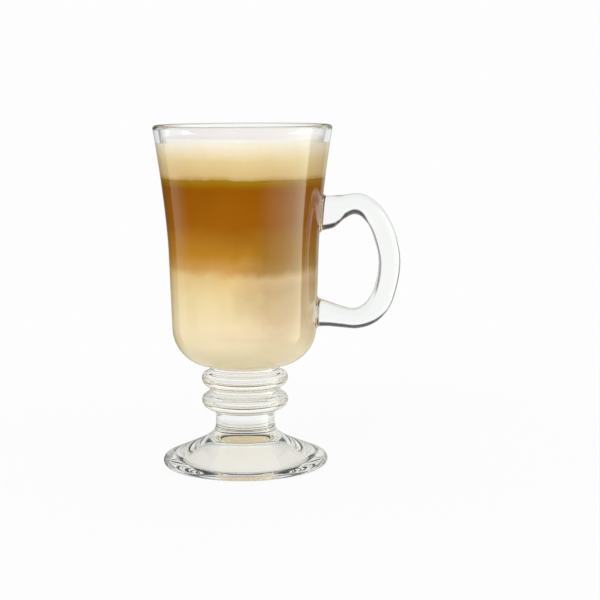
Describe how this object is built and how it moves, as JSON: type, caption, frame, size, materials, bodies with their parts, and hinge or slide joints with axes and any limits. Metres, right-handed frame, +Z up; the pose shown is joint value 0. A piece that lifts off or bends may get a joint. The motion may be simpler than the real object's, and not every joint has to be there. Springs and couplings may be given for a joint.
{
  "type": "irish coffee mug",
  "caption": "Clear glass footed mug with a flared bowl, a ringed stem, a domed foot and a C-shaped side handle, for hot layered drinks.",
  "frame": {"origin": "centre of the plane that the foot stands on", "axes": "+Z up along the axis of the bowl, +X towards the handle, XZ is the mirror plane"},
  "size_m": [0.1035, 0.075, 0.144],
  "materials": {
    "glass": "clear, fire-polished"
  },
  "bodies": {
    "root": {"bowl": "glass", "upper_ring": "glass", "lower_ring": "glass", "stem": "glass", "foot": "glass", "handle": "glass"}
  },
  "joints": []
}
